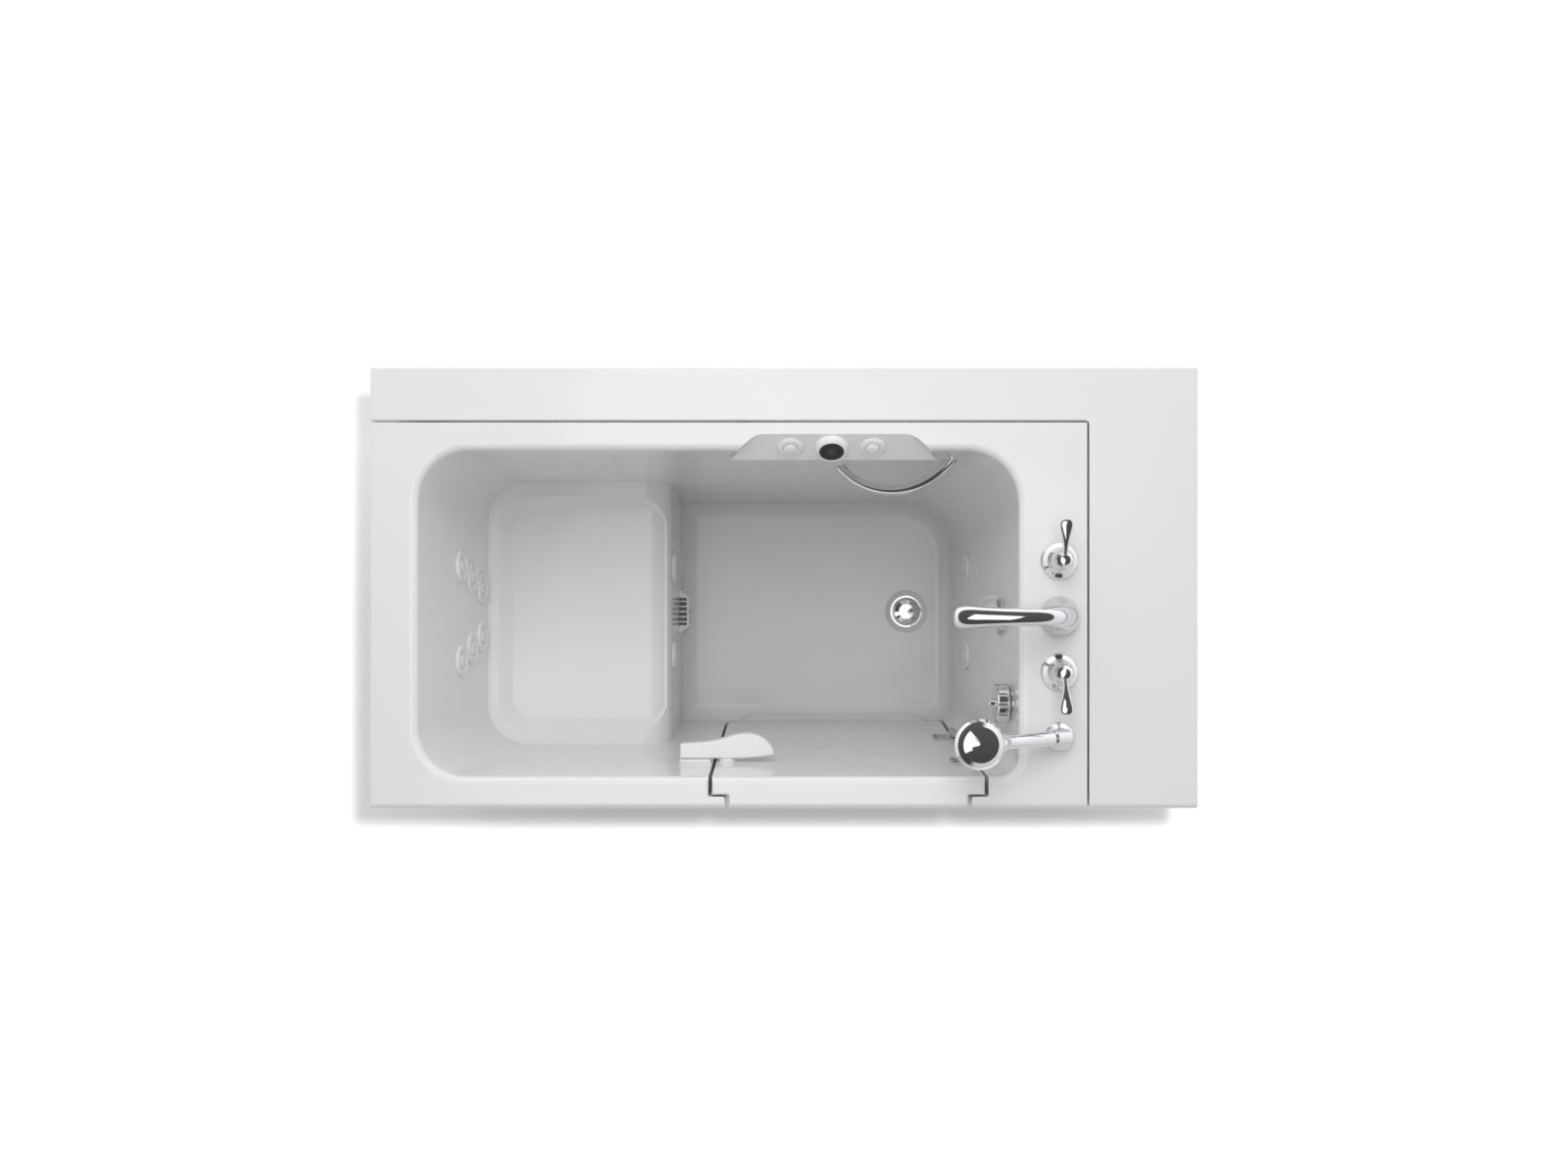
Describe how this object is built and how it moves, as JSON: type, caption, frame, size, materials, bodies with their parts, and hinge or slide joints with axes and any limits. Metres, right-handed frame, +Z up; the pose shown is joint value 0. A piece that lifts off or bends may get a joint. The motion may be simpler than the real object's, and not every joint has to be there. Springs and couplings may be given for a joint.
{
  "type": "walk-in bathtub",
  "caption": "Walk-in bathtub with an inward-opening hinged door, moulded seat, water jets, deck-mounted taps, spout and hand shower, and an L-shaped extension deck.",
  "frame": {"origin": "on the floor, under the centre of the overall footprint", "axes": "+X from the seat end towards the taps, +Y from the door side towards the wall behind, +Z up"},
  "size_m": [1.524, 0.8128, 1.0912],
  "materials": {
    "white_acrylic": "gel-gloss acrylic sheet",
    "white_plastic": "moulded, semi-gloss",
    "ivory_plastic": "moulded, semi-gloss, slightly warmer than the shell",
    "grey_rubber": "soft extruded gasket",
    "stainless": "fine brushed",
    "galvanised_steel": "dull zinc coat",
    "zinc_steel": "bright zinc plated",
    "black_enamel": "baked enamel",
    "black_plastic": "fine texture",
    "white_pvc": "plain pipe",
    "clear_hose": "flexible hose",
    "brass": "cast and machined",
    "copper": "bright tube",
    "chrome": "polished plate",
    "black_glass": "polished lens with lit symbols behind it"
  },
  "bodies": {
    "tub": {"air_blower": "black_plastic", "air_hose": "clear_hose", "backing_nuts": "black_plastic", "bath_shell": "white_acrylic", "button_collars": "white_plastic", "button_switches": "black_plastic", "deck_end_panels": "white_acrylic", "deck_front_panel": "white_acrylic", "deck_stand": "galvanised_steel", "display_bezel": "white_plastic", "display_glass": "black_glass", "drain_body": "chrome", "drain_knob_seat": "chrome", "extension_deck": "white_acrylic", "front_apron": "white_acrylic", "grab_bar": "chrome", "hinge_frame_leaves": "stainless", "hinge_pins": "stainless", "jet_bodies": "white_pvc", "latch_strike": "white_plastic", "left_end_panel": "white_acrylic", "levelling_feet": "zinc_steel", "overflow_cover": "chrome", "pressure_pipes": "white_pvc", "pump_base": "black_plastic", "pump_motor": "black_enamel", "pump_wet_end": "black_plastic", "shower_holder": "chrome", "spout": "chrome", "suction_cover": "white_plastic", "suction_fitting": "white_pvc", "suction_pipe": "white_pvc", "support_frame": "galvanised_steel", "tap_escutcheons": "chrome", "tap_pipes": "copper", "tap_valves": "brass", "waste_pipe": "white_pvc"},
    "door": {"door_leaf": "white_acrylic", "door_outer_panel": "white_acrylic", "door_seal": "grey_rubber", "latch_rosette": "white_plastic", "hinge_door_leaves": "stainless"},
    "latch": {"latch_lever": "white_plastic"},
    "hot_tap": {"hot_lever": "chrome"},
    "cold_tap": {"cold_lever": "chrome"},
    "hand_shower": {"shower_handset": "chrome"},
    "drain_control": {"drain_knob": "chrome"},
    "stopper": {"drain_stopper": "chrome"},
    "pump_key": {"pump_button": "white_plastic"},
    "air_key": {"air_button": "white_plastic"},
    "back_jet_upper_right_nozzle": {"back_jet_upper_right": "ivory_plastic"},
    "back_jet_upper_left_nozzle": {"back_jet_upper_left": "ivory_plastic"},
    "back_jet_middle_right_nozzle": {"back_jet_middle_right": "ivory_plastic"},
    "back_jet_middle_left_nozzle": {"back_jet_middle_left": "ivory_plastic"},
    "back_jet_lower_right_nozzle": {"back_jet_lower_right": "ivory_plastic"},
    "back_jet_lower_left_nozzle": {"back_jet_lower_left": "ivory_plastic"},
    "leg_jet_right_nozzle": {"leg_jet_right": "ivory_plastic"},
    "leg_jet_left_nozzle": {"leg_jet_left": "ivory_plastic"},
    "foot_jet_right_nozzle": {"foot_jet_right": "ivory_plastic"},
    "foot_jet_left_nozzle": {"foot_jet_left": "ivory_plastic"}
  },
  "joints": [
    {"name": "door_swing", "type": "hinge", "parent": "tub", "child": "door", "pos_m": [0.3735, -0.31798, 0], "axis": [0, 0, -1], "range_deg": [0, 62]},
    {"name": "latch_lever_turn", "type": "hinge", "parent": "door", "child": "latch", "pos_m": [-0.112, -0.3416, 0.768], "axis": [0, -0.9995, -0.0325], "range_deg": [0, 90]},
    {"name": "hot_lever_turn", "type": "hinge", "parent": "tub", "child": "hot_tap", "pos_m": [0.507, -0.1545, 0.965], "axis": [0, 0, -1], "range_deg": [0, 90]},
    {"name": "cold_lever_turn", "type": "hinge", "parent": "tub", "child": "cold_tap", "pos_m": [0.507, 0.0505, 0.965], "axis": [0, 0, 1], "range_deg": [0, 90]},
    {"name": "handset_lift", "type": "slide", "parent": "tub", "child": "hand_shower", "axis": [-0.8857, -0.0221, 0.4638], "range_m": [0, 0.15]},
    {"name": "drain_knob_turn", "type": "hinge", "parent": "tub", "child": "drain_control", "pos_m": [0.4304, -0.2195, 0.865], "axis": [-0.9994, 0, 0.036], "range_deg": [0, 90]},
    {"name": "stopper_lift", "type": "slide", "parent": "tub", "child": "stopper", "axis": [0, 0, 1], "range_m": [0, 0.0081]},
    {"name": "pump_button_press", "type": "slide", "parent": "tub", "child": "pump_key", "axis": [0, 0.7843, -0.6203], "range_m": [0, 0.003], "stiffness_N_per_m": 300},
    {"name": "air_button_press", "type": "slide", "parent": "tub", "child": "air_key", "axis": [0, 0.7843, -0.6203], "range_m": [0, 0.003], "stiffness_N_per_m": 300},
    {"name": "back_jet_upper_right_turn", "type": "hinge", "parent": "tub", "child": "back_jet_upper_right_nozzle", "pos_m": [-0.6503, 0.0442, 0.703], "axis": [0.995, 0, 0.0995], "range_deg": [0, 90]},
    {"name": "back_jet_upper_left_turn", "type": "hinge", "parent": "tub", "child": "back_jet_upper_left_nozzle", "pos_m": [-0.6503, -0.1458, 0.703], "axis": [0.995, 0, 0.0995], "range_deg": [0, 90]},
    {"name": "back_jet_middle_right_turn", "type": "hinge", "parent": "tub", "child": "back_jet_middle_right_nozzle", "pos_m": [-0.6433, 0.0222, 0.633], "axis": [0.995, 0, 0.0995], "range_deg": [0, 90]},
    {"name": "back_jet_middle_left_turn", "type": "hinge", "parent": "tub", "child": "back_jet_middle_left_nozzle", "pos_m": [-0.6433, -0.1238, 0.633], "axis": [0.995, 0, 0.0995], "range_deg": [0, 90]},
    {"name": "back_jet_lower_right_turn", "type": "hinge", "parent": "tub", "child": "back_jet_lower_right_nozzle", "pos_m": [-0.6364, 0.0002, 0.564], "axis": [0.995, 0, 0.0995], "range_deg": [0, 90]},
    {"name": "back_jet_lower_left_turn", "type": "hinge", "parent": "tub", "child": "back_jet_lower_left_nozzle", "pos_m": [-0.6364, -0.1018, 0.564], "axis": [0.995, 0, 0.0995], "range_deg": [0, 90]},
    {"name": "leg_jet_right_turn", "type": "hinge", "parent": "tub", "child": "leg_jet_right_nozzle", "pos_m": [-0.245, 0.0462, 0.405], "axis": [1, 0, 0], "range_deg": [0, 90]},
    {"name": "leg_jet_left_turn", "type": "hinge", "parent": "tub", "child": "leg_jet_left_nozzle", "pos_m": [-0.245, -0.1478, 0.405], "axis": [1, 0, 0], "range_deg": [0, 90]},
    {"name": "foot_jet_right_turn", "type": "hinge", "parent": "tub", "child": "foot_jet_right_nozzle", "pos_m": [0.41157, 0.0492, 0.342], "axis": [-0.9994, 0, 0.036], "range_deg": [0, 90]},
    {"name": "foot_jet_left_turn", "type": "hinge", "parent": "tub", "child": "foot_jet_left_nozzle", "pos_m": [0.41157, -0.1508, 0.342], "axis": [-0.9994, 0, 0.036], "range_deg": [0, 90]}
  ],
  "couplings": [
    {"joint": "stopper_lift", "follows": "drain_knob_turn", "m_per_rad": 0.005093}
  ]
}
